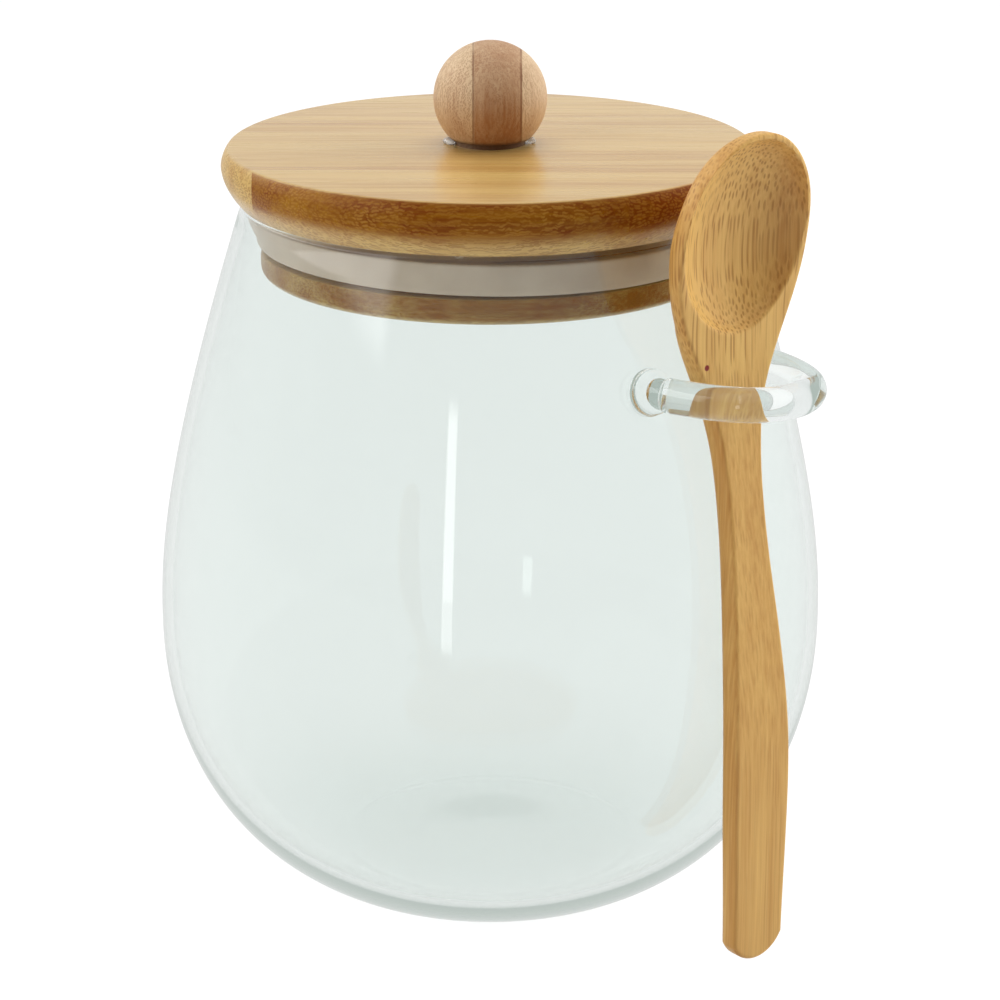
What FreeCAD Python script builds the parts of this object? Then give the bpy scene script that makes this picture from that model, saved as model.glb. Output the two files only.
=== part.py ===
import FreeCAD, Part
import math
import os

# Glass storage jar with a turned bamboo lid and a spoon that hangs in a glass loop.
# Millimetres, +Z up. The origin is the centre of the foot, and the loop points to -Y.

Vector = FreeCAD.Vector
UP = Vector(0, 0, 1)

# Blown glass body
jar_height = 128.1
belly_radius = 60.8
belly_height = 50.5
mouth_radius = 44.0
mouth_slope = 17.9          # degrees from upright just below the rim
foot_radius = 27.5
foot_rise = 4.0             # length of the curve's handle at the foot
belly_fullness_low = 40.5   # lengths of the curve's handles below and above the belly
belly_fullness_high = 12.5
shoulder_reach = 50.0
wall = 1.9
base_thickness = 3.2
kick_radius = 23.0          # the slight hollow under the foot
kick_depth = 0.8

# Glass loop for the spoon, welded to the wall
rod_radius = 2.95
loop_drop = 22.9            # from the rim down to the loop's plane
neck_side_play = 2.35       # from each side of the spoon's neck to the glass
neck_front_play = 8.05      # from the neck's front to the middle of the bend
leg_splay = 1.3             # how much further out each leg meets the wall
bend_start = 3.0            # from the neck's front back to where the legs start to bend
bend_fullness = 0.56        # handles of the bend's curves, as a share of its sides
pad_radius = 3.9            # flattened end of each leg
pad_thickness = 2.0
waist_radius = 2.65
waist_end = 3.4             # from the wall to where the rod is full again
weld_fillet = 0.6

# Lid: a disc and a plug turned from one laminated blank
lid_seat = 0.3              # between the rim and the underside
lid_thickness = 9.4
lid_overhang = 3.5          # widest part of the disc beyond the rim
lid_top_inset = 1.3         # top edge inside the widest part
lid_bottom_inset = 3.1
lid_widest_below_top = 3.2
lid_edge_hollow = 0.28      # share of an inset that is left halfway along the edge's curve
plug_depth = 12.9
plug_clearance = 1.3        # between the mouth's bore and the plug
plug_corner = 2.0
groove_height = 8.3
groove_depth = 2.2

# Silicone ring in the groove
ring_height = 5.6
ring_drop = 2.0             # from the disc's underside to the ring's top
ring_core_gap = 0.2
ring_glass_gap = 0.4
ring_taper = 0.8
ring_round = 0.6
ring_tilt = 0.7             # degrees; the ring has slipped down on one side
ring_low_side = -46.0       # direction of that side, from +X

# Ball knob
knob_radius = 10.0
knob_flat_depth = 7.1       # from the ball's centre to its flat underside
knob_foot_radius = 6.2
knob_foot_height = 1.0

# Spoon, cut from one bamboo board
spoon_tip_height = 3.4
spoon_gap = 0.3             # between the handle's back and the belly
spoon_turn = 7.0            # degrees the face is turned in the loop
spoon_roll = 0.65           # degrees it leans sideways, with its tip towards -X
spoon_shift = -1.2          # sideways place of the neck in the loop
neck_gap = 2.2              # between the wall and the neck's back
tip_width = 11.7
tip_round = 3.6
handle_width = 12.8
handle_widest_height = 43.5
handle_thickness = 4.8
handle_crown = 0.7          # how much rounder the middle of the back is than its sides
tip_stand_off = 2.7         # how far out each part of the handle is, from lying flat
low_stand_off = 2.5         # against the belly
belly_stand_off = 1.8
rest_stand_off = 0.4        # above the belly the same, but from the wall at that height
waist_stand_off = 0.15
throat_stand_off = 1.2
waist_width = 8.2
waist_below_loop = 18.5
neck_width = 13.8
shoulder_width = 25.7
shoulder_above_loop = 14.0
bowl_width = 28.8
bowl_centre_above_loop = 24.0
bowl_half_length = 19.5
bowl_depth_outside = 8.4
bowl_start_above_loop = 12.0
bowl_side_height = 3.4
bowl_lean = 4.4             # how far the top of the head leans out past the neck
hollow_width = 26.9
hollow_length = 33.0
hollow_depth = 5.8
hollow_centre_lift = 1.6    # the hollow's ellipsoid is centred this far in front of the face
hollow_roll = 4.0           # degrees the hollow is turned in the face
hollow_rise = 1.8           # from the head's centre to the hollow's
hollow_shift = -0.4
front_round = 0.7
back_round = 1.5
section_count = 24

loop_height = jar_height - loop_drop
loop_bend_spread = neck_width + 2 * (rod_radius + neck_side_play)
loop_foot_spread = loop_bend_spread + 2 * leg_splay
neck_thickness = handle_thickness * 1.1
mouth_bore = mouth_radius - wall
lid_bottom = jar_height + lid_seat
lid_top = lid_bottom + lid_thickness


def wall_curves(inset, floor):
    """Foot-to-belly and belly-to-mouth curves of the wall, moved in by inset."""
    belly = belly_radius - inset
    mouth = mouth_radius - inset
    low_scale = (belly_height - floor) / belly_height
    lean_x = math.sin(math.radians(mouth_slope))
    lean_z = math.cos(math.radians(mouth_slope))
    low = Part.BezierCurve()
    low.setPoles([
        Vector(foot_radius, 0, floor),
        Vector(foot_radius + foot_rise, 0, floor),
        Vector(belly, 0, belly_height - belly_fullness_low * low_scale),
        Vector(belly, 0, belly_height),
    ])
    high = Part.BezierCurve()
    high.setPoles([
        Vector(belly, 0, belly_height),
        Vector(belly, 0, belly_height + belly_fullness_high),
        Vector(mouth + shoulder_reach * lean_x, 0, jar_height - shoulder_reach * lean_z),
        Vector(mouth, 0, jar_height),
    ])
    return low, high


def wall_radius(height, inset=0, floor=0):
    """Radius of the glass at a height, found by halving the curve's parameter."""
    low, high = wall_curves(inset, floor)
    curve = low if height < belly_height else high
    start, end = 0.0, 1.0
    for _ in range(40):
        middle = (start + end) / 2
        if curve.value(middle).z < height:
            start = middle
        else:
            end = middle
    return curve.value(start).x


def revolved(edges):
    """Solid of revolution about Z from edges that run from the axis back to the axis."""
    face = Part.Face(Part.Wire(edges))
    return face.revolve(Vector(0, 0, 0), UP, 360)


def line(start, end):
    return Part.makeLine(Vector(start[0], 0, start[1]), Vector(end[0], 0, end[1]))


def arc(start, middle, end):
    points = [Vector(p[0], 0, p[1]) for p in (start, middle, end)]
    return Part.Arc(*points).toShape()


def body(inset, floor, top):
    """Everything inside the wall's curves, as one solid from floor to top."""
    low, high = wall_curves(inset, floor)
    mouth = mouth_radius - inset
    edges = [line((0, floor), (foot_radius, floor)), low.toShape(), high.toShape()]
    if top > jar_height:
        edges.append(line((mouth, jar_height), (mouth, top)))
    edges.append(line((mouth, top), (0, top)))
    edges.append(line((0, top), (0, floor)))
    return revolved(edges)


def kick():
    """Shallow spherical hollow pressed into the underside of the foot."""
    radius = (kick_radius ** 2 + kick_depth ** 2) / (2 * kick_depth)
    return Part.makeSphere(radius, Vector(0, 0, kick_depth - radius))


def glass_shell():
    shell = body(0, 0, jar_height).cut(body(wall, base_thickness, jar_height + 5))
    rim = [e for e in shell.Edges if abs(e.BoundBox.ZMin - jar_height) < 0.01]
    rim = [e for e in rim if e.BoundBox.ZLength < 0.01]
    shell = shell.makeFillet(wall * 0.47, rim)
    return shell.cut(kick())


def neck_front():
    """Distance from the jar's axis to the front of the spoon's neck."""
    return wall_radius(loop_height) + neck_gap + neck_thickness


def foot_point(side):
    """Where a leg's centre line meets the wall."""
    radius = wall_radius(loop_height)
    x = side * loop_foot_spread / 2
    return Vector(x, -math.sqrt(radius ** 2 - x ** 2), loop_height)


def bend_point(side):
    """Where a leg ends and the bend starts."""
    return Vector(side * loop_bend_spread / 2, bend_start - neck_front(), loop_height)


def weld_pad(side):
    """Flattened end of a leg, pressed square onto the wall."""
    foot = foot_point(side)
    radius = wall_radius(loop_height)
    slope = wall_radius(loop_height - 0.5) - wall_radius(loop_height + 0.5)
    outward = Vector(foot.x / radius, foot.y / radius, slope).normalize()
    pad = Part.makeCylinder(pad_radius, wall + pad_thickness, foot - outward * wall, outward)
    face = foot + outward * pad_thickness
    outer = [e for e in pad.Edges if e.BoundBox.Center.distanceToPoint(face) < 0.1]
    return pad.makeFillet(pad_thickness * 0.45, outer)


def waist(side):
    """Pinched stretch of a leg between its pad and the full rod."""
    foot = foot_point(side)
    along = (bend_point(side) - foot).normalize()
    cone_length = rod_radius - waist_radius
    pinch = Part.makeCylinder(waist_radius, waist_end - cone_length + wall / 2,
                              foot - along * (wall / 2), along)
    flare = Part.makeCone(waist_radius, rod_radius, cone_length,
                          foot + along * (waist_end - cone_length), along)
    return pinch.fuse(flare)


def rod():
    """Round rod swept along the legs and the rounded arch between them."""
    apex = Vector(0, -neck_front() - neck_front_play - rod_radius, loop_height)
    bend_depth = bend_point(1).y - apex.y
    path = []
    for side in (-1, 1):
        foot, start = foot_point(side), bend_point(side)
        along = (start - foot).normalize()
        leg = Part.makeLine(foot + along * waist_end, start)
        bend = Part.BezierCurve()
        bend.setPoles([
            start,
            start + along * (bend_depth * bend_fullness),
            apex + Vector(side * loop_bend_spread / 2 * bend_fullness, 0, 0),
            apex,
        ])
        path.extend([leg, bend.toShape()])
    wire = Part.Wire(Part.sortEdges(path)[0])
    first = foot_point(-1) + (bend_point(-1) - foot_point(-1)).normalize() * waist_end
    section = Part.makeCircle(rod_radius, first, bend_point(-1) - foot_point(-1))
    return wire.makePipeShell([Part.Wire(section)], True, False)


def loop():
    pieces = [waist(-1), waist(1), weld_pad(-1), weld_pad(1)]
    return rod().fuse(pieces)


def on_wall(point):
    return abs(math.hypot(point.x, point.y) - wall_radius(point.z)) < 0.01


def weld_seams(glass):
    """Edges where the pads meet the outside of the wall."""
    reach = loop_foot_spread / 2 + pad_radius + 1
    seams = []
    for edge in glass.Edges:
        box = edge.BoundBox
        beside = box.YMax < 0 and abs(box.XMin) < reach and abs(box.XMax) < reach
        level = abs(box.Center.z - loop_height) < pad_radius
        if beside and level and all(on_wall(p) for p in edge.discretize(6)):
            seams.append(edge)
    return seams


def jar():
    """Shell and loop are one piece of glass, so they are one solid."""
    glass_loop = loop().cut(body(wall / 2, base_thickness, jar_height))
    glass = glass_shell().fuse(glass_loop)
    return glass.makeFillet(weld_fillet, weld_seams(glass))


def lid():
    widest = mouth_radius + lid_overhang
    top_radius = widest - lid_top_inset
    bottom_radius = widest - lid_bottom_inset
    widest_height = lid_top - lid_widest_below_top
    plug = mouth_bore - plug_clearance
    core = plug - groove_depth
    groove_bottom = lid_bottom - groove_height
    plug_bottom = lid_bottom - plug_depth
    turn = plug_corner * (1 - math.sqrt(0.5))
    edges = [
        line((0, plug_bottom), (plug - plug_corner, plug_bottom)),
        arc((plug - plug_corner, plug_bottom), (plug - turn, plug_bottom + turn),
            (plug, plug_bottom + plug_corner)),
        line((plug, plug_bottom + plug_corner), (plug, groove_bottom)),
        line((plug, groove_bottom), (core, groove_bottom)),
        line((core, groove_bottom), (core, lid_bottom)),
        line((core, lid_bottom), (bottom_radius, lid_bottom)),
        arc((bottom_radius, lid_bottom),
            (widest - lid_bottom_inset * lid_edge_hollow, (lid_bottom + widest_height) / 2),
            (widest, widest_height)),
        arc((widest, widest_height),
            (widest - lid_top_inset * lid_edge_hollow, (lid_top + widest_height) / 2),
            (top_radius, lid_top)),
        line((top_radius, lid_top), (0, lid_top)),
        line((0, lid_top), (0, plug_bottom)),
    ]
    return revolved(edges)


def gasket():
    """Soft ring with a lip that widens upward until it nearly meets the glass."""
    inner = mouth_bore - plug_clearance - groove_depth + ring_core_gap
    top = lid_bottom - ring_drop
    bottom = top - ring_height
    outer = wall_radius(top, wall, base_thickness) - ring_glass_gap
    foot = outer - ring_taper
    turn = ring_round * (1 - math.sqrt(0.5))
    edges = [
        line((inner, bottom), (foot - ring_round, bottom)),
        arc((foot - ring_round, bottom), (foot - turn, bottom + turn),
            (foot, bottom + ring_round)),
        line((foot, bottom + ring_round), (outer, top - ring_round)),
        arc((outer, top - ring_round), (outer - turn, top - turn),
            (outer - ring_round, top)),
        line((outer - ring_round, top), (inner, top)),
        line((inner, top), (inner, bottom)),
    ]
    ring = revolved(edges)
    across = math.radians(ring_low_side + 90)
    middle = Vector(0, 0, (top + bottom) / 2)
    ring.rotate(middle, Vector(math.cos(across), math.sin(across), 0), ring_tilt)
    return ring


def knob():
    """Turned ball, flat underneath, on a short foot that stands on the lid."""
    flat = lid_top + knob_foot_height
    flat_radius = math.sqrt(knob_radius ** 2 - knob_flat_depth ** 2)
    centre = flat + knob_flat_depth
    return revolved([
        line((0, lid_top), (knob_foot_radius, lid_top)),
        line((knob_foot_radius, lid_top), (knob_foot_radius, flat)),
        line((knob_foot_radius, flat), (flat_radius, flat)),
        arc((flat_radius, flat), (knob_radius, centre), (0, centre + knob_radius)),
        line((0, centre + knob_radius), (0, lid_top)),
    ])


def off_wall(height, stand_off):
    """Front of the handle where its back stands off the wall."""
    return wall_radius(height) + spoon_gap + handle_thickness + stand_off


def spoon_stations():
    """Height, front distance, thickness and half width from the tip to the head's top."""
    flat = belly_radius + spoon_gap + handle_thickness
    upright = (loop_height - belly_height) / 2
    rest = belly_height + upright * 0.4
    waist = belly_height + upright
    throat = belly_height + upright * 1.6
    half_handle = handle_width / 2
    half_waist = waist_width / 2
    half_bowl = bowl_width / 2
    neck = neck_front()
    bowl_centre = loop_height + bowl_centre_above_loop
    top = bowl_centre + bowl_half_length
    return [
        (spoon_tip_height - 2, flat + tip_stand_off, handle_thickness * 0.9, tip_width / 2),
        (belly_height * 0.5, flat + low_stand_off, handle_thickness, half_handle * 0.95),
        (belly_height * 0.9, flat + belly_stand_off, handle_thickness, half_handle),
        (rest, off_wall(rest, rest_stand_off), handle_thickness, half_handle * 0.9),
        (waist, off_wall(waist, waist_stand_off), handle_thickness, half_waist),
        (throat, off_wall(throat, throat_stand_off), handle_thickness, half_waist * 1.15),
        (loop_height, neck, neck_thickness, neck_width / 2),
        (loop_height + bowl_start_above_loop, neck - 0.6, bowl_depth_outside * 0.8,
         shoulder_width * 0.45),
        (bowl_centre, neck + bowl_lean * 0.15, bowl_depth_outside, half_bowl),
        (bowl_centre + bowl_half_length * 0.5, neck + bowl_lean * 0.6,
         bowl_depth_outside * 0.8, half_bowl),
        (top + 1, neck + bowl_lean, bowl_side_height, half_bowl),
    ]


def between(stations, height):
    """A station's values at any height, by cubic steps between its neighbours."""
    last = len(stations) - 1
    slopes = []
    for i in range(last + 1):
        low, high = stations[max(i - 1, 0)], stations[min(i + 1, last)]
        slopes.append([(b - a) / (high[0] - low[0]) for a, b in zip(low, high)])
    i = max(k for k in range(last) if stations[k][0] <= height or k == 0)
    low, high = stations[i], stations[i + 1]
    step = high[0] - low[0]
    t = (height - low[0]) / step
    ease = t * t * (3 - 2 * t)
    return [a + (b - a) * ease + step * (t * (1 - t) ** 2 * m - t * t * (1 - t) * n)
            for a, b, m, n in zip(low, high, slopes[i], slopes[i + 1])]


def spoon_section(height, front, thickness, half_width, edge_depth):
    """Flat front and crowned back, wider than the outline that trims it later."""
    reach = half_width + 2
    crown = (thickness - edge_depth) * (reach / half_width) ** 2
    back = thickness - front
    left = Vector(-reach, -front, height)
    right = Vector(reach, -front, height)
    back_right = Vector(reach, back - crown, height)
    back_left = Vector(-reach, back - crown, height)
    return Part.Wire([
        Part.makeLine(left, right),
        Part.makeLine(right, back_right),
        Part.Arc(back_right, Vector(0, back, height), back_left).toShape(),
        Part.makeLine(back_left, left),
    ])


def spoon_blank():
    """Loft of evenly spaced sections that gives the side view and the rounded back."""
    stations = spoon_stations()
    bottom, top = stations[0][0], stations[-1][0]
    wires = []
    for i in range(section_count):
        height = bottom + (top - bottom) * i / (section_count - 1)
        _, front, thickness, half_width = between(stations, height)
        share = min(max((height - loop_height) / bowl_start_above_loop, 0), 1)
        side = (thickness - handle_crown) * (1 - share) + bowl_side_height * share
        side = min(side, thickness * 0.98)
        wires.append(spoon_section(height, front, thickness, half_width, side))
    return Part.makeLoft(wires, True, False)


def mirrored(edge):
    return edge.mirror(Vector(0, 0, 0), Vector(1, 0, 0))


def spoon_outline():
    """Front view: rounded tip, waisted handle and an oval head, cut straight through."""
    bowl_centre = loop_height + bowl_centre_above_loop
    half_tip = tip_width / 2
    half_bowl = bowl_width / 2
    tip_side = Vector(half_tip, 0, spoon_tip_height + tip_round)
    bowl_side = Vector(half_bowl, 0, bowl_centre)
    side = Part.BSplineCurve()
    side.interpolate(Points=[
        tip_side,
        Vector(handle_width / 2, 0, handle_widest_height),
        Vector(handle_width / 2 * 0.8, 0, belly_height + 15),
        Vector(waist_width / 2, 0, loop_height - waist_below_loop),
        Vector(neck_width / 2, 0, loop_height),
        Vector(shoulder_width / 2, 0, loop_height + shoulder_above_loop),
        bowl_side,
    ], InitialTangent=UP, FinalTangent=UP)
    right = side.toShape()
    left = mirrored(right)
    round_head = Part.makeCircle(1, Vector(0, 0, 0), Vector(0, -1, 0), 0, 180)
    stretch = FreeCAD.Matrix()
    stretch.scale(half_bowl, 1, bowl_half_length)
    oval = round_head.transformGeometry(stretch)
    oval.translate(Vector(0, 0, bowl_centre))
    tip = Part.Arc(tip_side, Vector(0, 0, spoon_tip_height),
                   Vector(-half_tip, 0, spoon_tip_height + tip_round)).toShape()
    wire = Part.Wire(Part.sortEdges([right, oval.Edges[0], left, tip])[0])
    reach = 2 * (belly_radius + bowl_depth_outside)
    return Part.Face(wire).extrude(Vector(0, -reach, 0))


def hollow():
    """Half-egg scooped out of the head's face, along the face's lean."""
    ball = Part.makeSphere(1.0)
    rim_scale = 1 / math.sqrt(1 - (hollow_centre_lift / (hollow_depth + hollow_centre_lift)) ** 2)
    stretch = FreeCAD.Matrix()
    stretch.scale(hollow_width / 2 * rim_scale, hollow_depth + hollow_centre_lift,
                  hollow_length / 2 * rim_scale)
    egg = ball.transformGeometry(stretch)
    egg.rotate(Vector(0, 0, 0), Vector(0, 1, 0), -hollow_roll)
    lean = math.degrees(math.atan2(bowl_lean * 0.55, bowl_half_length))
    egg.rotate(Vector(0, 0, 0), Vector(1, 0, 0), lean)
    egg.translate(Vector(hollow_shift,
                         -neck_front() - bowl_lean * 0.25 - hollow_centre_lift,
                         loop_height + bowl_centre_above_loop + hollow_rise))
    return egg


def broad_face(solid, side):
    """The front (-1) or back (1) face: the two are the largest of the blank."""
    largest = sorted(solid.Faces, key=lambda face: face.Area)[-2:]
    return max(largest, key=lambda face: side * face.CenterOfMass.y)


def spoon():
    blank = spoon_blank().common(spoon_outline())
    eased = blank.makeFillet(back_round, broad_face(blank, 1).Edges)
    eased = eased.makeFillet(front_round, broad_face(eased, -1).Edges)
    scooped = eased.cut(hollow())
    neck = Vector(0, neck_thickness / 2 - neck_front(), loop_height)
    scooped.rotate(neck, UP, -spoon_turn)
    scooped.rotate(neck, Vector(0, 1, 0), spoon_roll)
    scooped.translate(Vector(spoon_shift, 0, 0))
    return scooped


def main():
    os.makedirs("parts", exist_ok=True)
    pieces = {"jar": jar, "lid": lid, "gasket": gasket, "knob": knob, "spoon": spoon}
    for name, make in pieces.items():
        shape = make()
        shape.exportStep("parts/" + name + ".step")
        print(name, shape.ShapeType, len(shape.Solids), shape.isValid(),
              round(shape.Volume / 1000, 2), "cm3")


main()
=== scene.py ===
from math import asin, atan2, cos, pi, radians, sin, sqrt

import bmesh
import bpy
from mathutils import Matrix, Vector


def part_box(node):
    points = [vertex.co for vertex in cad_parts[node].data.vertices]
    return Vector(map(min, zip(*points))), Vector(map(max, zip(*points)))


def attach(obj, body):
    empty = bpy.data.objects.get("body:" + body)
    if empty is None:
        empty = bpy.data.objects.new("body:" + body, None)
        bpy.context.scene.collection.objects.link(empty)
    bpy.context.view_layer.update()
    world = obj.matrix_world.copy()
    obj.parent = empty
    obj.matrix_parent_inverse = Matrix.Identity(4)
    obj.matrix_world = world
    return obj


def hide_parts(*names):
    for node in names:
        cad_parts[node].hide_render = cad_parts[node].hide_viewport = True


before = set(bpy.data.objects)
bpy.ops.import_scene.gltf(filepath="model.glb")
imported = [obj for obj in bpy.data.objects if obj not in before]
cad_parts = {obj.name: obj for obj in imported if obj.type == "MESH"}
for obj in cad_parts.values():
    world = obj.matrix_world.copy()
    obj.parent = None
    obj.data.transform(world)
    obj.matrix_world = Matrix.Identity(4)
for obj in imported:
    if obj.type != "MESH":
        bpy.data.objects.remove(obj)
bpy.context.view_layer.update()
mm = 0.001
scene = bpy.context.scene
print("frame loaded, nodes:", sorted(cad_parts))

viewAzimuth = radians(-46.4)   # where the camera stands round the jar
toRight = Vector((cos(viewAzimuth), sin(viewAzimuth), 0))   # to the camera's right
toCamera = Vector((sin(viewAzimuth), -cos(viewAzimuth), 0))


def cadEdge(node, axis, end="high"):
    # where a node of the frame ends along an axis, in mm to two places
    return round(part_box(node)[end == "high"]["xyz".index(axis)] / mm, 2)


def feed(tree, node, inputs):
    for key, value in inputs.items():
        if isinstance(value, bpy.types.Node):   # a node stands for its first output
            value = value.outputs[0]
        if isinstance(value, bpy.types.NodeSocket):
            tree.links.new(value, node.inputs[key])
        else:
            node.inputs[key].default_value = value


def addNode(tree, kind, inputs=None, **settings):
    node = tree.nodes.new(kind)
    for key, value in settings.items():
        setattr(node, key, value)
    feed(tree, node, inputs or {})
    return node


def calc(tree, operation, a, b=0.0, c=0.0, clamp=False):
    return addNode(tree, "ShaderNodeMath", {0: a, 1: b, 2: c},
                   operation=operation, use_clamp=clamp)


def plus(tree, a, b):
    return calc(tree, "ADD", a, b)


def minus(tree, a, b):
    return calc(tree, "SUBTRACT", a, b)


def times(tree, a, b):
    return calc(tree, "MULTIPLY", a, b)


def towards(tree, share, a, b):
    # a where the share is 0, b where it is 1
    return plus(tree, a, times(tree, share, minus(tree, b, a)))


def ramp(tree, factor, stops, interpolation="LINEAR"):
    node = addNode(tree, "ShaderNodeValToRGB", {"Fac": factor})
    band = node.color_ramp
    band.interpolation = interpolation
    while len(band.elements) < len(stops):
        band.elements.new(0.5)
    for element, (place, colour) in zip(band.elements, stops):
        element.position = place
        element.color = (*colour, 1)
    return node.outputs["Color"]


def fit(tree, value, low, high, newLow=0.0, newHigh=1.0, kind="SMOOTHSTEP"):
    node = addNode(tree, "ShaderNodeMapRange",
                   {"Value": value, "From Min": low, "From Max": high,
                    "To Min": newLow, "To Max": newHigh}, interpolation_type=kind)
    return node.outputs["Result"]


def blendColour(tree, factor, a, b, mode="MIX"):
    node = addNode(tree, "ShaderNodeMix", {"Factor": factor}, data_type="RGBA", blend_type=mode)
    sockets = [i for i, s in enumerate(node.inputs) if s.type == "RGBA"]   # A, then B
    for index, value in zip(sockets, (a, b)):
        feed(tree, node, {index: (*value, 1) if isinstance(value, tuple) else value})
    return [s for s in node.outputs if s.type == "RGBA"][0]


def noise(tree, place, scale=1.0, detail=2.0, roughness=0.5):
    return addNode(tree, "ShaderNodeTexNoise",
                   {"Vector": place, "Scale": scale, "Detail": detail,
                    "Roughness": roughness}).outputs


def vectorMath(tree, operation, a, b):
    second = "Scale" if operation == "SCALE" else 1
    return addNode(tree, "ShaderNodeVectorMath", {0: a, second: b}, operation=operation).outputs


def newMaterial(name):
    material = bpy.data.materials.new(name)
    material.use_nodes = True
    return material, material.node_tree, material.node_tree.nodes["Principled BSDF"]


def newMesh(name, points, faces=(), edges=()):
    mesh = bpy.data.meshes.new(name)
    mesh.from_pydata(points, edges, faces)
    piece = bpy.data.objects.new(name, mesh)
    scene.collection.objects.link(piece)
    return piece


def tidyMesh(piece, sharpDegrees=40):
    work = bmesh.new()
    work.from_mesh(piece.data)
    bmesh.ops.remove_doubles(work, verts=work.verts, dist=1e-7)
    bmesh.ops.recalc_face_normals(work, faces=work.faces)
    work.to_mesh(piece.data)
    work.free()
    for polygon in piece.data.polygons:
        polygon.use_smooth = True
    piece.data.set_sharp_from_angle(angle=radians(sharpDegrees))


def bakeModifiers(piece):
    bpy.context.view_layer.update()
    graph = bpy.context.evaluated_depsgraph_get()
    made = bpy.data.meshes.new_from_object(piece.evaluated_get(graph))
    piece.modifiers.clear()
    piece.data = made
    made.name = piece.name


def useTree(piece, tree, values):
    modifier = piece.modifiers.new(tree.name, "NODES")
    modifier.node_group = tree
    for item in tree.interface.items_tree:
        if item.in_out == "INPUT" and item.name in values:
            modifier[item.identifier] = values[item.name]
    bakeModifiers(piece)


def newTree(name, inputs):
    tree = bpy.data.node_groups.new(name, "GeometryNodeTree")
    tree.interface.new_socket("Geometry", in_out="INPUT", socket_type="NodeSocketGeometry")
    for label, kind in inputs:
        tree.interface.new_socket(label, in_out="INPUT", socket_type="NodeSocket" + kind)
    tree.interface.new_socket("Geometry", in_out="OUTPUT", socket_type="NodeSocketGeometry")
    return tree, tree.nodes.new("NodeGroupInput").outputs, tree.nodes.new("NodeGroupOutput")


def endTree(tree, geometry, material, groupOut):
    real = addNode(tree, "GeometryNodeRealizeInstances", {"Geometry": geometry})
    painted = addNode(tree, "GeometryNodeSetMaterial",
                      {"Geometry": real, "Material": material})
    feed(tree, groupOut, {0: painted})


def makeLatheTree():
    # turns a profile of points in the XZ plane round the Z axis
    tree, given, made = newTree("lathe", [("Segments", "Int"), ("Material", "Material")])
    profile = given["Geometry"]
    rows = addNode(tree, "GeometryNodeAttributeDomainSize",
                   {"Geometry": profile}).outputs["Point Count"]
    grid = addNode(tree, "GeometryNodeMeshGrid",
                   {"Vertices X": plus(tree, given["Segments"], 1), "Vertices Y": rows})
    index = addNode(tree, "GeometryNodeInputIndex")
    row = calc(tree, "MODULO", index, rows)
    column = calc(tree, "FLOOR", calc(tree, "DIVIDE", plus(tree, index, 0.5), rows))
    place = addNode(tree, "GeometryNodeInputPosition")
    sample = addNode(tree, "GeometryNodeSampleIndex", {"Geometry": profile, "Index": row},
                     data_type="FLOAT_VECTOR")
    feed(tree, sample, {"Value": place})
    angle = calc(tree, "DIVIDE", times(tree, column, 2 * pi), given["Segments"])
    turned = addNode(tree, "ShaderNodeVectorRotate",
                     {"Vector": sample, "Angle": angle}, rotation_type="Z_AXIS")
    moved = addNode(tree, "GeometryNodeSetPosition",
                    {"Geometry": grid.outputs["Mesh"], "Position": turned})
    joined = addNode(tree, "GeometryNodeMergeByDistance",
                     {"Geometry": moved, "Distance": 2e-6})
    endTree(tree, joined, given["Material"], made)
    return tree


def makeRodTree():
    # a round rod along a path of points that carry their own radius
    tree, given, made = newTree("rod", [("Sides", "Int"), ("Material", "Material")])
    path = addNode(tree, "GeometryNodeMeshToCurve", {"Mesh": given["Geometry"]})
    ring = addNode(tree, "GeometryNodeCurvePrimitiveCircle",
                   {"Resolution": given["Sides"], "Radius": 1.0})
    thick = addNode(tree, "GeometryNodeInputNamedAttribute", {"Name": "rodRadius"},
                    data_type="FLOAT")
    swept = addNode(tree, "GeometryNodeCurveToMesh",
                    {"Curve": path, "Profile Curve": ring,
                     "Scale": thick, "Fill Caps": True})
    endTree(tree, swept, given["Material"], made)
    return tree


latheTree = makeLatheTree()
rodTree = makeRodTree()


def bezier(points, count):
    found = []
    for i in range(count + 1):
        t = i / count
        weights = (1 - t) ** 3, 3 * t * (1 - t) ** 2, 3 * t * t * (1 - t), t ** 3
        found.append(tuple(sum(w * p[j] for w, p in zip(weights, points)) for j in range(2)))
    return found


def roundCorner(start, corner, end, radius, count=6):
    # points of a quarter-like turn that replaces a corner of a profile
    start, corner, end = (Vector(p) for p in (start, corner, end))
    a = corner + (start - corner).normalized() * radius
    b = corner + (end - corner).normalized() * radius
    found = []
    for i in range(count + 1):
        t = i / count
        found.append(tuple(a * (1 - t) ** 2 + corner * 2 * t * (1 - t) + b * t * t))
    return found


def pathEdges(points):
    return [(i, i + 1) for i in range(len(points) - 1)]


def lathe(name, profile, segments, material, sharpDegrees=40):
    points = [(r * mm, 0, z * mm) for r, z in profile]
    piece = newMesh(name, points, edges=pathEdges(points))
    useTree(piece, latheTree, {"Segments": segments, "Material": material})
    tidyMesh(piece, sharpDegrees)
    return piece


glassLook = {
    "tint": (0.838, 0.872, 0.858),
    "shadowTint": (0.90, 0.93, 0.92),   # what it lets through onto other things
    "ior": 1.47,
    "deepGlow": (0.45, 0.52, 0.48),     # painted light: the pale glow the glass gives out once a ray has bounced many times in it
    "deepAfter": 7.5,                   # bounces of any kind before that
    "mirroredAfter": 2.5,               # mirror bounces before that
}


def lightPath(tree):
    return addNode(tree, "ShaderNodeLightPath").outputs


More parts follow.
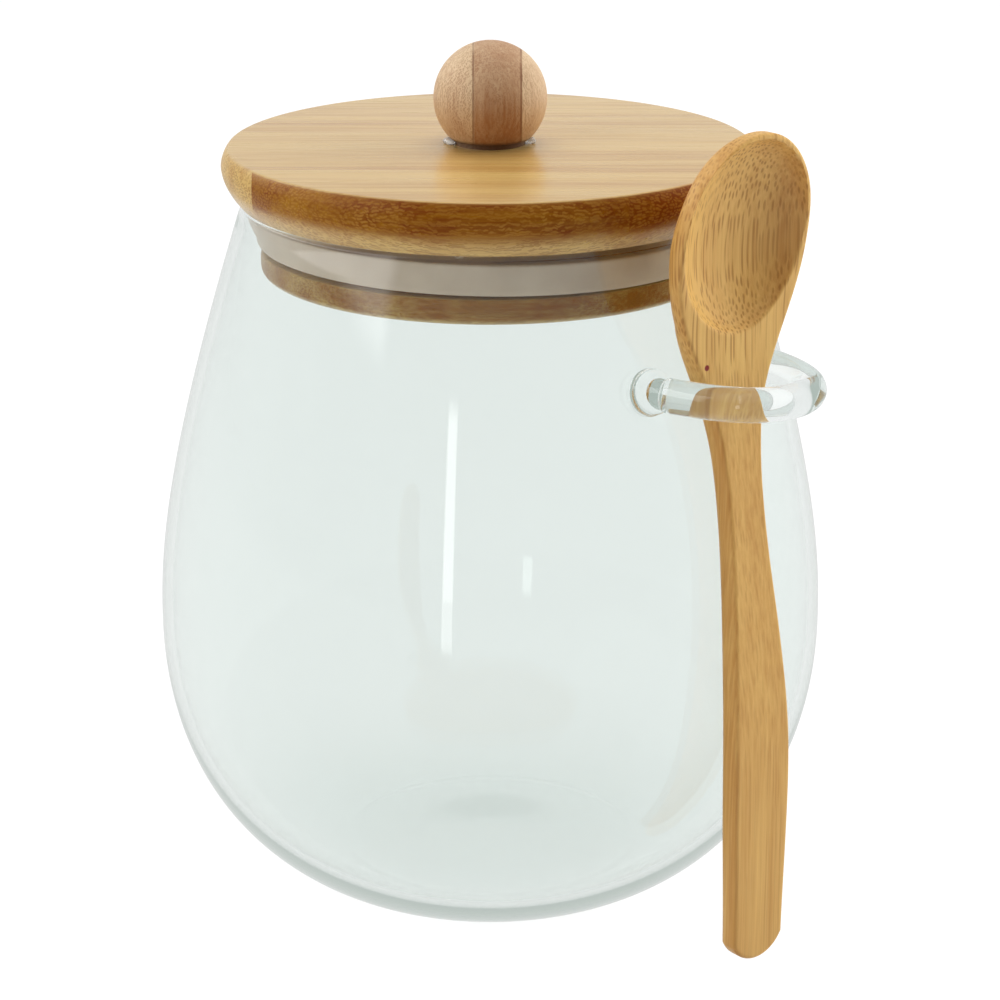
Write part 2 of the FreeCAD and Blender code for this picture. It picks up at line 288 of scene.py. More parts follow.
def makeGlass():
    material, tree, shader = newMaterial("clearGlass")
    feed(tree, shader, {"Base Color": (*glassLook["tint"], 1), "Roughness": 0.0,
                        "IOR": glassLook["ior"], "Transmission Weight": 1.0})
    through = addNode(tree, "ShaderNodeBsdfTransparent", {"Color": (*glassLook["shadowTint"], 1)})
    path = lightPath(tree)
    lets = calc(tree, "MAXIMUM", path["Is Shadow Ray"], path["Is Diffuse Ray"])
    both = addNode(tree, "ShaderNodeMixShader", {0: lets, 1: shader, 2: through})
    # painted light: past many bounces the glass glows pale
    pale = addNode(tree, "ShaderNodeEmission", {"Color": (*glassLook["deepGlow"], 1),
                                                "Strength": 1.0})
    deep = calc(tree, "MAXIMUM",
                calc(tree, "GREATER_THAN", path["Ray Depth"], glassLook["deepAfter"]),
                calc(tree, "GREATER_THAN", path["Glossy Depth"], glassLook["mirroredAfter"]))
    ended = addNode(tree, "ShaderNodeMixShader", {0: deep, 1: both, 2: pale})
    feed(tree, tree.nodes["Material Output"], {"Surface": ended})
    return material


# lengths are in mm, depths are shares of the way from the pale tone to the dark one
grain = {
    "wanderPitch": 3.0, "scatter": 0.7, "rodEdge": 1.15, "rodHeart": 0.45, "blockJump": 37.0,
    "patchPitch": 5.0, "patchSqueeze": 0.3, "patchRange": (0.3, 0.65, 0.45, 1.0),
    "fibreSqueeze": 0.02, "fibreDetail": 4.0, "fibreRoughness": 0.65,
    "bandPitch": 4.5, "bandSqueeze": 0.03, "bandDetail": 3.0, "bandRoughness": 0.6,
    "uprightRange": (0.92, 0.5), "underRange": (-0.62, -0.26), "blockSpan": 100,
    "tintRange": (-0.5, 0.0), "marksRange": (0.6, 0.95),
    "fibreRange": (0.3, 0.7), "roughSpread": (-0.06, 0.1), "plainGloss": 0.5,
    "relief": 0.4, "reliefDepth": 0.05, "coatRoughness": 0.2,
}
# what the three pieces share unless their own look says otherwise
plainWood = {
    "joints": (), "base": 0.10, "sideBundles": 0.0, "sideDarken": 0.0, "sideTint": None,
    "sideGloss": None, "coat": None, "bump": 0.25, "fade": None, "foot": None, "shade": None,
    "speck": None, "slopes": None,
}
lidLook = {
    **plainWood, "grainAxis": "X", "turn": -viewAzimuth,
    "pale": (0.62, 0.41, 0.135), "dark": (0.32, 0.105, 0.006),
    "pitch": 0.50, "bundleSize": 0.44, "bundleDepth": 0.08, "sideBundles": 0.50,
    "bundleColour": (0.44, 0.21, 0.035), "bundleDark": (0.24, 0.09, 0.012),
    "wanderLength": 1.5, "wanderDepth": 1.4, "fibrePitch": 0.6, "fibreDepth": 1.3,
    "bandDepth": 1.7,
    "blocks": [(0, 0.02), (0.097, 0.50), (0.348, 0.66), (0.725, 0.88)],   # glued side by side
    "base": 0.12, "sideDarken": 0.42, "sideTint": (0.56, 0.37, 0.060), "sideGloss": 0.12,
    "plugTint": 0.15, "plugTop": (127.5, 128.5), "roughness": 0.30, "coat": 0.35,
}
knobLook = {
    **plainWood, "grainAxis": "Z", "turn": -viewAzimuth,
    "pale": (0.71, 0.52, 0.32), "dark": (0.34, 0.14, 0.050),
    "pitch": 0.40, "bundleSize": 0.40, "bundleDepth": 0.5,
    "bundleColour": (0.28, 0.11, 0.040),
    "wanderLength": 0.9, "wanderDepth": 2.2, "fibrePitch": 0.5, "fibreDepth": 0.7,
    "bandDepth": 0.8,
    "blocks": [(0, 0.46), (0.4705, 0.98), (0.5535, 0.46)], "roughness": 0.5,
    "joints": (-2.95, 5.35), "jointRange": (0.26, 0.10), "jointPatch": (0.3, 0.6, 0.3, 0.8),
    "jointColour": (0.20, 0.08, 0.030),
    "foot": (139.6, 138.7, 0.85), "footShadeColour": (0.07, 0.028, 0.010),   # painted shade under the knob, darkest by the lid
    # painted shade: the knob darkens towards its foot
    "shade": (150, 141, 0.35),
}
spoonLook = {
    **plainWood, "grainAxis": "Z", "turn": radians(7),
    "pale": (0.76, 0.465, 0.135), "dark": (0.40, 0.130, 0.008),
    "pitch": 0.74, "bundleSize": 0.33, "bundleDepth": 0.58,
    "bundleColour": (0.32, 0.115, 0.012),
    "wanderLength": 14.0, "wanderDepth": 0.5, "fibrePitch": 0.6, "fibreDepth": 0.9,
    "bandDepth": 0.6,
    "blocks": [(0, 0.5), (1, 0.5)], "roughness": 0.45, "bump": 0.3,
    "fade": (100, 112, 0.33),          # the handle shows its bundles less than the bowl
    # painted shade: the lower bowl and the handle darken below the neck
    "shade": (114, 102, 0.15),
    # painted shade on slopes facing left, painted light on slopes facing right
    "slopes": {"left": (0.10, -0.65, 0.0, 0.30), "right": (0.15, 0.55, 0.0, 0.16)},
    "speck": (-8.4, -57.2, 109.9), "speckRange": (0.62, 0.40),
    "speckColour": (0.22, 0.008, 0.006),
}


def makeBamboo(name, look):
    # solid wood: bundles run along the grain, so cuts across it show dots, along it lines
    material, tree, shader = newMaterial(name)
    g, turn = grain, (0, 0, look["turn"])
    where = addNode(tree, "ShaderNodeTexCoord").outputs
    place = where["Object"]
    height = addNode(tree, "ShaderNodeSeparateXYZ", {"Vector": place}).outputs["Z"]
    turned = addNode(tree, "ShaderNodeMapping", {"Vector": place, "Rotation": turn})
    parts = addNode(tree, "ShaderNodeSeparateXYZ", {"Vector": turned}).outputs
    lying = look["grainAxis"] == "X"
    across, deep = (parts[axis] for axis in ("YZ" if lying else "XY"))
    blockPlace = calc(tree, "MULTIPLY_ADD", parts["X"], 1 / (g["blockSpan"] * mm), 0.5)
    block = ramp(tree, blockPlace, [(stop, (level,) * 3) for stop, level in look["blocks"]],
                 "CONSTANT")
    blockTone = minus(tree, block, 0.5)

    def stretched(pitch, squeeze):
        scale = 1 / (pitch * mm)
        size = (scale * squeeze, scale, scale) if lying else (scale, scale, scale * squeeze)
        return addNode(tree, "ShaderNodeMapping", {"Vector": turned, "Scale": size})

    def atHeight(low, high, newLow, newHigh):
        return fit(tree, height, low * mm, high * mm, newLow, newHigh)

    # bundles are long rods: seen end on they are dots, along the grain they are lines
    wanderPitch = g["wanderPitch"]
    wander = noise(tree, stretched(wanderPitch, wanderPitch / look["wanderLength"]))["Color"]
    drift = vectorMath(tree, "SUBTRACT", wander, (0.5, 0.5, 0.5))[0]
    drift = vectorMath(tree, "SCALE", drift, look["wanderDepth"] * 2)[0]
    cell = 1 / (look["pitch"] * mm)
    jump = times(tree, block, g["blockJump"])
    cut = addNode(tree, "ShaderNodeCombineXYZ",
                  {0: calc(tree, "MULTIPLY_ADD", across, cell, jump),
                   1: times(tree, deep, cell)})
    cut = vectorMath(tree, "ADD", cut, drift)[0]
    bundles = addNode(tree, "ShaderNodeTexVoronoi",
                      {"Vector": cut, "Scale": 1.0, "Randomness": g["scatter"]},
                      feature="F1", voronoi_dimensions="2D").outputs["Distance"]
    core = fit(tree, bundles, look["bundleSize"] * g["rodEdge"],
               look["bundleSize"] * g["rodHeart"])
    patch = noise(tree, stretched(g["patchPitch"], g["patchSqueeze"]), detail=1.0)[0]
    core = times(tree, core, fit(tree, patch, *g["patchRange"]))
    if look["fade"]:
        core = times(tree, core, atHeight(*look["fade"], 1.0))
    fibres = noise(tree, stretched(look["fibrePitch"], g["fibreSqueeze"]),
                   detail=g["fibreDetail"], roughness=g["fibreRoughness"])[0]
    bands = noise(tree, stretched(g["bandPitch"], g["bandSqueeze"]),
                  detail=g["bandDetail"], roughness=g["bandRoughness"])[0]

    # the turned normal tells tops from sides, and sides from what faces down
    normal = addNode(tree, "ShaderNodeMapping", {"Vector": where["Normal"], "Rotation": turn},
                     vector_type="NORMAL")
    facing = addNode(tree, "ShaderNodeSeparateXYZ", {"Vector": normal}).outputs
    upright = fit(tree, facing["Z"], *g["uprightRange"])
    side = times(tree, upright, fit(tree, facing["Z"], *g["underRange"]))

    tone = times(tree, minus(tree, fibres, 0.5), look["fibreDepth"])
    tone = plus(tree, tone, times(tree, minus(tree, bands, 0.5), look["bandDepth"]))
    tone = plus(tree, tone, times(tree, blockTone, side if lying else 1.0))
    if look["slopes"]:   # painted shade and painted light: slopes facing left are painted browner, slopes facing right paler
        tone = plus(tree, tone, fit(tree, facing["X"], *look["slopes"]["left"]))
        tone = minus(tree, tone, fit(tree, facing["X"], *look["slopes"]["right"]))
    # painted shade: the tone darkens towards the bottom
    if look["shade"]:
        start, end, most = look["shade"]
        tone = plus(tree, tone, atHeight(start, end, 0.0, most))
    darker = calc(tree, "MULTIPLY_ADD", side, look["sideDarken"], look["base"])
    tone = calc(tree, "ADD", tone, darker, clamp=True)
    colour = blendColour(tree, tone, look["pale"], look["dark"])
    marks = look["bundleColour"]
    if look["sideTint"]:   # the rim's sides are tinted darker brown, and the plug below them less so
        pale = fit(tree, blockTone, *g["tintRange"])
        tinted = calc(tree, "MULTIPLY", side, pale, clamp=True)
        tinted = times(tree, tinted, atHeight(*look["plugTop"], look["plugTint"], 1.0))
        colour = blendColour(tree, tinted, colour, look["sideTint"], "MULTIPLY")
        marks = blendColour(tree, fit(tree, tinted, *g["marksRange"]),
                            look["bundleDark"], marks)
    depth = calc(tree, "MULTIPLY_ADD", upright, look["sideBundles"], look["bundleDepth"])
    colour = blendColour(tree, times(tree, core, depth), colour, marks)

    for joint in look["joints"]:
        away = calc(tree, "ABSOLUTE", minus(tree, parts["X"], joint * mm))
        line = times(tree, fit(tree, away, *(v * mm for v in look["jointRange"])),
                     fit(tree, patch, *look["jointPatch"]))
        colour = blendColour(tree, line, colour, look["jointColour"])
    # painted shade: the knob's foot darkens towards the lid
    if look["foot"]:
        start, end, most = look["foot"]
        colour = blendColour(tree, atHeight(start, end, 0.0, most), colour, look["footShadeColour"])
    if look["speck"]:   # one small dark red mark on the neck
        middle = tuple(v * mm for v in look["speck"])
        reach = vectorMath(tree, "DISTANCE", place, middle)["Value"]
        spot = fit(tree, reach, *(v * mm for v in look["speckRange"]))
        colour = blendColour(tree, spot, colour, look["speckColour"])

    smooth, coarse = (look["roughness"] + v for v in g["roughSpread"])
    relief = minus(tree, times(tree, fibres, g["relief"]), core)
    bump = addNode(tree, "ShaderNodeBump", {"Height": relief, "Strength": look["bump"],
                                            "Distance": g["reliefDepth"] * mm})
    feed(tree, shader, {
        "Base Color": colour, "Normal": bump, "Coat Roughness": g["coatRoughness"],
        "Roughness": fit(tree, fibres, *g["fibreRange"], smooth, coarse, "LINEAR")})
    if look["coat"]:   # lacquer on the flat top only
        feed(tree, shader, {"Coat Weight": times(tree, minus(tree, 1.0, side), look["coat"])})
    if look["sideGloss"]:
        gloss = fit(tree, side, 0.0, 1.0, g["plainGloss"], look["sideGloss"], "LINEAR")
        feed(tree, shader, {"Specular IOR Level": gloss})
    return material


siliconeLook = {
    "cloudScale": 140.0, "cloudDetail": 3.0, "roughness": (0.36, 0.48),
    "cloud": [(0.3, (0.62, 0.47, 0.36)), (0.7, (0.72, 0.57, 0.45))],
    "soft": 0.4, "softTint": (1.0, 0.9, 0.8), "softDepth": 1.2,
}


def makeSilicone():
    look = siliconeLook
    material, tree, shader = newMaterial("siliconeSeal")
    place = addNode(tree, "ShaderNodeTexCoord").outputs["Object"]
    cloud = noise(tree, place, look["cloudScale"], look["cloudDetail"])[0]
    low, high = (stop for stop, _ in look["cloud"])
    feed(tree, shader, {
        "Base Color": ramp(tree, cloud, look["cloud"]),
        "Roughness": fit(tree, cloud, low, high, *look["roughness"], "LINEAR"),
        "Subsurface Weight": look["soft"], "Subsurface Radius": look["softTint"],
        "Subsurface Scale": look["softDepth"] * mm})
    return material


glueLook = {
    "tint": (0.95, 0.93, 0.89), "hazeScale": 900.0, "hazeRange": (0.3, 0.7),
    "roughness": (0.1, 0.3), "clear": 0.55, "ior": 1.48,
}


def makeGlue():
    look = glueLook
    material, tree, shader = newMaterial("clearGlue")
    place = addNode(tree, "ShaderNodeTexCoord").outputs["Object"]
    haze = noise(tree, place, look["hazeScale"])[0]
    feed(tree, shader, {
        "Base Color": (*look["tint"], 1), "Transmission Weight": look["clear"], "IOR": look["ior"],
        "Roughness": fit(tree, haze, *look["hazeRange"], *look["roughness"], "LINEAR")})
    return material


clearGlass = makeGlass()
lidBamboo = makeBamboo("lidBamboo", lidLook)
knobWood = makeBamboo("knobWood", knobLook)
spoonBamboo = makeBamboo("spoonBamboo", spoonLook)
siliconeSeal = makeSilicone()
clearGlue = makeGlue()
print("materials made")


jarSizes = {
    "height": cadEdge("jar", "z"), "bellyRadius": cadEdge("jar", "x"), "bellyHeight": 50.5,
    "mouthRadius": 44.0, "mouthSlope": 17.9, "footRadius": 27.5, "footRise": 4.0,
    "fullnessLow": 40.5, "fullnessHigh": 12.5, "shoulderReach": 50.0, "wall": 1.9, "base": 3.2,
    "rimRise": 0.47, "kickRadius": 23.0, "kickDepth": 0.8, "bends": 12, "segments": 288,
    "coreSegments": 192, "sharpDegrees": 30,
}
loopSizes = {
    "height": 105.2, "rod": 2.95, "bendSpread": 24.4, "footSpread": 27.0, "bendStart": 55.49,
    "fullness": 0.56, "waist": 2.65, "waistStart": 0.6, "waistEnd": 3.4, "sunk": 1.6, "sides": 56,
}
loopSizes["apex"] = round(-cadEdge("jar", "y", "low") - loopSizes["rod"], 2)
waistSteps = ((0.42, 0.3), (0.2, 0.2), (0.0, 0.05), (-0.2, 0.0))   # before its end, below the rod
padSizes = {
    "radius": 3.9, "thickness": 2.0, "edge": 0.9, "flare": 0.9, "flareHeight": 1.2,
    "flareRound": 0.5, "flareDrop": 0.2, "skirt": 0.45, "skirtTop": -0.15, "sunk": 1.7,
    "segments": 64,
}


def wallCurves(inset, floor, count=60):
    s = jarSizes
    belly, mouth = s["bellyRadius"] - inset, s["mouthRadius"] - inset
    middle = s["bellyHeight"]
    scale = (middle - floor) / middle
    slope = radians(s["mouthSlope"])
    leanX, leanZ = sin(slope), cos(slope)
    low = bezier([(s["footRadius"], floor), (s["footRadius"] + s["footRise"], floor),
                  (belly, middle - s["fullnessLow"] * scale), (belly, middle)], count)
    high = bezier([(belly, middle), (belly, middle + s["fullnessHigh"]),
                   (mouth + s["shoulderReach"] * leanX, s["height"] - s["shoulderReach"] * leanZ),
                   (mouth, s["height"])], count)
    return low + high[1:]


def wallRadius(height, inset=0.0, floor=0.0):
    curve = wallCurves(inset, floor, 200)
    for (r0, z0), (r1, z1) in zip(curve, curve[1:]):
        if z0 <= height <= z1:
            return r0 + (r1 - r0) * (height - z0) / max(z1 - z0, 1e-9)
    return curve[-1][0]


def jarProfile():
    s = jarSizes
    outer, inner = wallCurves(0, 0), wallCurves(s["wall"], s["base"])
    bends = s["bends"]
    angles = [pi * i / bends for i in range(bends + 1)]
    kick = [(s["kickRadius"] * i / bends, s["kickDepth"] * (1 + cos(angle)) / 2)
            for i, angle in enumerate(angles)]
    rim = s["wall"] * s["rimRise"]
    outer = [p for p in outer if p[1] < s["height"] - rim]
    inner = [p for p in inner if p[1] < s["height"] - rim]
    middle = s["mouthRadius"] - s["wall"] / 2
    bead = [(middle + s["wall"] / 2 * cos(angle), s["height"] - rim + rim * sin(angle))
            for angle in angles]
    return kick + outer + bead + inner[::-1] + [(0, s["base"])]


def coreProfile():
    # what the loop mustn't reach into: everything inside the middle of the wall
    s = jarSizes
    curve = wallCurves(s["wall"] / 2, s["base"] / 2)
    return [(0, s["base"] / 2)] + curve + [(0, s["height"])]


def loopPoint(side, where):
    half = loopSizes["footSpread" if where == "foot" else "bendSpread"] / 2
    if where == "bend":
        return Vector((side * half, -loopSizes["bendStart"]))
    reach = wallRadius(loopSizes["height"])
    return Vector((side * half, -sqrt(reach ** 2 - half ** 2)))


def loopPath():
    # plan points with their radius, from inside the wall round the bend and back into it
    s = loopSizes
    halves = []
    for side in (-1, 1):
        foot, bend = loopPoint(side, "foot"), loopPoint(side, "bend")
        along = (bend - foot).normalized()
        steps = [(-s["sunk"], s["waist"]), (s["waistStart"], s["waist"])]
        steps += [(s["waistEnd"] - back, s["rod"] - thinner) for back, thinner in waistSteps]
        points = [(foot + along * d, r) for d, r in steps]
        reach = s["apex"] - s["bendStart"]
        curve = bezier([tuple(bend), tuple(bend + along * reach * s["fullness"]),
                        (side * s["bendSpread"] / 2 * s["fullness"], -s["apex"]),
                        (0, -s["apex"])], 40)
        points += [(Vector(p), s["rod"]) for p in curve]
        halves.append(points)
    return halves[0] + halves[1][::-1][1:]


def makeLoop():
    path = loopPath()
    piece = newMesh("loopRod", [(p.x * mm, p.y * mm, loopSizes["height"] * mm) for p, r in path],
                    edges=pathEdges(path))
    radius = piece.data.attributes.new("rodRadius", "FLOAT", "POINT")
    radius.data.foreach_set("value", [r * mm for p, r in path])
    useTree(piece, rodTree, {"Sides": loopSizes["sides"], "Material": clearGlass})
    tidyMesh(piece)
    return piece


def makePad(side):
    # a flat round foot that leaves the wall square and flares into it
    s = padSizes
    height, radius, top = loopSizes["height"], s["radius"], s["thickness"]
    foot = loopPoint(side, "foot")
    slope = wallRadius(height - 0.5) - wallRadius(height + 0.5)
    outward = Vector((foot.x, foot.y, slope * wallRadius(height))).normalized()
    edge = roundCorner((radius, 0), (radius, top), (0, top), s["edge"], 8)
    flare = roundCorner((radius, s["flareHeight"]), (radius, 0),
                        (radius + s["flare"], -s["flareDrop"]), s["flareRound"], 4)
    skirt = radius + s["skirt"]
    profile = [(0, -s["sunk"]), (skirt, -s["sunk"]), (skirt, s["skirtTop"])]
    profile += flare[::-1][1:] + edge + [(0, top)]
    piece = lathe("loopPad", profile, s["segments"], clearGlass)
    turn = outward.to_track_quat("Z", "X").to_matrix().to_4x4()
    piece.data.transform(Matrix.Translation(Vector((foot.x, foot.y, height)) * mm) @ turn)
    return piece


def combine(target, tool, operation):
    modifier = target.modifiers.new("weld", "BOOLEAN")
    modifier.operation = operation
    modifier.solver = "EXACT"
    modifier.object = tool
    bakeModifiers(target)


def makeJar():
    glass = lathe("jarGlass", jarProfile(), jarSizes["segments"], clearGlass)
    core = lathe("jarCore", coreProfile(), jarSizes["coreSegments"], clearGlass)
    loop = makeLoop()
    pads = [makePad(-1), makePad(1)]
    for pad in pads:
        combine(loop, pad, "UNION")
    combine(loop, core, "DIFFERENCE")
    combine(glass, loop, "UNION")
    for tool in [core, loop, *pads]:
        bpy.data.objects.remove(tool)
    tidyMesh(glass, jarSizes["sharpDegrees"])
    return glass


jarGlass = makeJar()
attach(jarGlass, "root")
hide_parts("jar")
print("jar made,", len(jarGlass.data.polygons), "faces")


lidSizes = {
    "top": cadEdge("lid", "z"), "plugBottom": cadEdge("lid", "z", "low"),
    "widest": cadEdge("lid", "x"), "thickness": 9.4, "topInset": 1.3, "bottomInset": 3.1,
    "widestBelowTop": 3.2, "edgeHollow": 0.28, "plug": 40.8, "plugCorner": 2.0,
    "grooveHeight": 8.3, "grooveDepth": 2.2, "grooveEdge": 0.25, "arris": 0.35, "lowArris": 0.9,
    "segments": 256,
}
lidSizes["bottom"] = round(lidSizes["top"] - lidSizes["thickness"], 2)
sealSizes = {
    "inner": 38.8, "height": 5.6, "belowLid": 2.0, "taper": 0.8, "round": 0.6, "glassGap": 0.4,
    "tilt": 0.7, "lowSide": -46.0, "segments": 192,
}
knobSizes = {
    "radius": cadEdge("knob", "x"), "bottom": cadEdge("knob", "z", "low"), "flatDepth": 7.1,
    "foot": 6.2, "footHeight": 1.0, "undercut": 0.3, "rows": 48, "segments": 128,
}
glueSizes = {
    "reach": 7.2, "radius": 1.0, "aboveLid": 0.5, "lump": 0.06, "lumpPitch": 700.0, "push": 4.0,
    "smallest": (0.8, 0.8, 0.6), "largest": (1.25, 1.25, 0.85), "seed": 4,
}


def throughPoints(start, middle, end, count):
    # quadratic that passes through the middle point halfway
    control = [2 * m - (a + b) / 2 for a, m, b in zip(start, middle, end)]
    found = []
    for i in range(count + 1):
        t = i / count
        found.append(tuple(a * (1 - t) ** 2 + c * 2 * t * (1 - t) + b * t * t
                           for a, c, b in zip(start, control, end)))
    return found


def lidProfile():
    s = lidSizes
    top, bottom, plugBottom, widest = s["top"], s["bottom"], s["plugBottom"], s["widest"]
    widestHeight = top - s["widestBelowTop"]
    plug, core = s["plug"], s["plug"] - s["grooveDepth"]
    grooveBottom = bottom - s["grooveHeight"]
    lowEdge = throughPoints((widest - s["bottomInset"], bottom),
                            (widest - s["bottomInset"] * s["edgeHollow"],
                             (bottom + widestHeight) / 2),
                            (widest, widestHeight), 14)
    highEdge = throughPoints((widest, widestHeight),
                             (widest - s["topInset"] * s["edgeHollow"], (top + widestHeight) / 2),
                             (widest - s["topInset"], top), 10)
    topCorner = roundCorner(highEdge[-2], highEdge[-1], (0, top), s["arris"], 5)
    lowCorner = roundCorner((0, bottom), lowEdge[0], lowEdge[1], s["arris"] * s["lowArris"], 5)
    return ([(0, plugBottom)]
            + roundCorner((0, plugBottom), (plug, plugBottom), (plug, bottom), s["plugCorner"], 10)
            + roundCorner((plug, plugBottom), (plug, grooveBottom), (core, grooveBottom),
                          s["grooveEdge"], 4)
            + [(core, grooveBottom), (core, bottom)]
            + lowCorner + lowEdge[2:] + highEdge[1:-2] + topCorner + [(0, top)])


lidWood = lathe("lidWood", lidProfile(), lidSizes["segments"], lidBamboo)
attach(lidWood, "root")
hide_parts("lid")


def makeSeal():
    s = sealSizes
    top = lidSizes["bottom"] - s["belowLid"]
    bottom = top - s["height"]
    outer = wallRadius(top, jarSizes["wall"], jarSizes["base"]) - s["glassGap"]
    foot, inner, r = outer - s["taper"], s["inner"], s["round"]
    profile = [(inner, bottom)]
    profile += roundCorner((inner, bottom), (foot, bottom), (outer, top), r, 5)
    profile += roundCorner((foot, bottom), (outer, top), (inner, top), r, 5)
    profile += [(inner, top), (inner, bottom)]
    ring = lathe("sealRing", profile, s["segments"], siliconeSeal)
    across = radians(s["lowSide"] + 90)
    middle = Vector((0, 0, (top + bottom) / 2 * mm))
    hinge = Vector((cos(across), sin(across), 0))
    tilt = Matrix.Rotation(radians(s["tilt"]), 4, hinge)
    ring.data.transform(Matrix.Translation(middle) @ tilt @ Matrix.Translation(-middle))
    return ring


sealRing = makeSeal()
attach(sealRing, "root")
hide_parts("gasket")


def knobProfile():
    s = knobSizes
    flat = s["bottom"] + s["footHeight"]
    centre = flat + s["flatDepth"]
    low = -asin(s["flatDepth"] / s["radius"])
    ball = []
    for i in range(s["rows"] + 1):
        angle = low + (pi / 2 - low) * i / s["rows"]
        ball.append((s["radius"] * cos(angle), centre + s["radius"] * sin(angle)))
    ball[-1] = (0, ball[-1][1])
    return [(0, s["bottom"]), (s["foot"], s["bottom"]), (s["foot"], flat),
            (ball[0][0] - s["undercut"], flat)] + ball


knobBall = lathe("knobBall", knobProfile(), knobSizes["segments"], knobWood)
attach(knobBall, "root")
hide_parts("knob")


def makeGlueTree():
    # a small lumpy drop on each given point
    s = glueSizes
    tree, given, made = newTree("glueDrops", [("Radius", "Float"), ("Lump", "Float"),
                                              ("Seed", "Int"), ("Material", "Material")])
    drop = addNode(tree, "GeometryNodeMeshIcoSphere",
                   {"Radius": given["Radius"], "Subdivisions": 4})
    flat = addNode(tree, "FunctionNodeRandomValue", {"Seed": given["Seed"]},
                   data_type="FLOAT_VECTOR")
    feed(tree, flat, {0: s["smallest"], 1: s["largest"]})
    spread = addNode(tree, "GeometryNodeInstanceOnPoints",
                     {"Points": given["Geometry"], "Instance": drop, "Scale": flat})
    real = addNode(tree, "GeometryNodeRealizeInstances", {"Geometry": spread})
    lumps = addNode(tree, "ShaderNodeTexNoise", {"Scale": s["lumpPitch"], "Detail": 1.0})
    push = times(tree, minus(tree, lumps, 0.5), times(tree, given["Lump"], given["Radius"]))
    normal = addNode(tree, "GeometryNodeInputNormal")
    offset = vectorMath(tree, "SCALE", normal, times(tree, push, s["push"]))[0]
    moved = addNode(tree, "GeometryNodeSetPosition", {"Geometry": real, "Offset": offset})
    endTree(tree, moved, given["Material"], made)
    return tree


def makeDrops():
    # one drop each side of the knob's foot and one behind it
    s = glueSizes
    ways = [-toRight + toCamera * 0.1, toRight + toCamera * 0.05,
            -toCamera * 0.8 + toRight * 0.4]
    height = Vector((0, 0, (lidSizes["top"] + s["aboveLid"]) * mm))
    piece = newMesh("glueDrops", [way.normalized() * s["reach"] * mm + height for way in ways])
    useTree(piece, makeGlueTree(), {"Radius": s["radius"] * mm, "Lump": s["lump"],
                                    "Seed": s["seed"], "Material": clearGlue})
    tidyMesh(piece, 180)
    return piece


glueDrops = makeDrops()
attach(glueDrops, "root")
print("lid, seal, knob and glue made")


spoonSizes = {
    "tip": 3.4, "gap": 0.3, "turn": 7.0, "roll": 0.65, "shift": -1.2, "neckGap": 2.2,
    "tipWidth": 11.7, "tipRound": 3.6, "handleWidth": 12.8, "widest": 43.5, "thickness": 4.8,
    "crown": 0.7, "tipOff": 2.7, "lowOff": 2.5, "bellyOff": 1.8, "restOff": 0.4,
    "waistOff": 0.15, "throatOff": 1.2, "waistWidth": 8.2, "waistBelow": 18.5,
    "neckWidth": 13.8, "neckSwell": 1.1, "shoulderWidth": 25.7, "shoulderAbove": 14.0,
    "bowlWidth": 28.8, "bowlAbove": 24.0, "bowlHalf": 19.5, "bowlDepth": 8.4, "bowlStart": 12.0,
    "bowlSide": 3.4, "lean": 4.4, "hollowWidth": 26.9, "hollowLength": 33.0, "hollowDepth": 5.8,
    "hollowLift": 1.6, "hollowRoll": 4.0, "hollowRise": 1.8, "hollowShift": -0.4,
    "frontRound": 0.7, "backRound": 1.5, "rimSoftness": 0.22, "sharpDegrees": 50,
}
# rows run up the spoon and columns across it, closer together where it turns
spoonGrid = {
    "tipRows": 14, "topRows": 56, "handleStep": 0.9, "bowlStep": 0.42, "fineBelow": 6,
    "edgeSteps": [0.0, 0.05, 0.14, 0.28, 0.46, 0.7, 1.0, 1.4, 1.9], "edgeBand": 2.4,
    "innerColumns": 62, "narrow": 5.0, "slopeStep": 0.02,
}
loopHeight = loopSizes["height"]
bellyHeight = jarSizes["bellyHeight"]
neckThickness = spoonSizes["thickness"] * spoonSizes["neckSwell"]
neckFront = wallRadius(loopHeight) + spoonSizes["neckGap"] + neckThickness
bowlCentre = loopHeight + spoonSizes["bowlAbove"]
spoonTop = bowlCentre + spoonSizes["bowlHalf"]


def spoonStations():
    # height, how far the front stands out from the jar's axis, thickness, half width
    s = spoonSizes
    t, bowl = s["thickness"], s["bowlDepth"]
    flat = jarSizes["bellyRadius"] + s["gap"] + t
    upright = (loopHeight - bellyHeight) / 2
    rest, waist, throat = (bellyHeight + upright * k for k in (0.4, 1.0, 1.6))
    half = s["handleWidth"] / 2

    def offWall(height, gap):
        return wallRadius(height) + s["gap"] + t + gap

    return [
        (s["tip"] - 2, flat + s["tipOff"], t * 0.9, s["tipWidth"] / 2),
        (bellyHeight * 0.5, flat + s["lowOff"], t, half * 0.95),
        (bellyHeight * 0.9, flat + s["bellyOff"], t, half),
        (rest, offWall(rest, s["restOff"]), t, half * 0.9),
        (waist, offWall(waist, s["waistOff"]), t, s["waistWidth"] / 2),
        (throat, offWall(throat, s["throatOff"]), t, s["waistWidth"] / 2 * 1.15),
        (loopHeight, neckFront, neckThickness, s["neckWidth"] / 2),
        (loopHeight + s["bowlStart"], neckFront - 0.6, bowl * 0.8, s["shoulderWidth"] * 0.45),
        (bowlCentre, neckFront + s["lean"] * 0.15, bowl, s["bowlWidth"] / 2),
        (bowlCentre + s["bowlHalf"] * 0.5, neckFront + s["lean"] * 0.6, bowl * 0.8,
         s["bowlWidth"] / 2),
        (spoonTop + 1, neckFront + s["lean"], s["bowlSide"], s["bowlWidth"] / 2),
    ]


def easedStep(a, b, slopeA, slopeB, step, t):
    ease = t * t * (3 - 2 * t)
    bend = t * (1 - t) ** 2 * slopeA - t * t * (1 - t) * slopeB
    return a + (b - a) * ease + step * bend


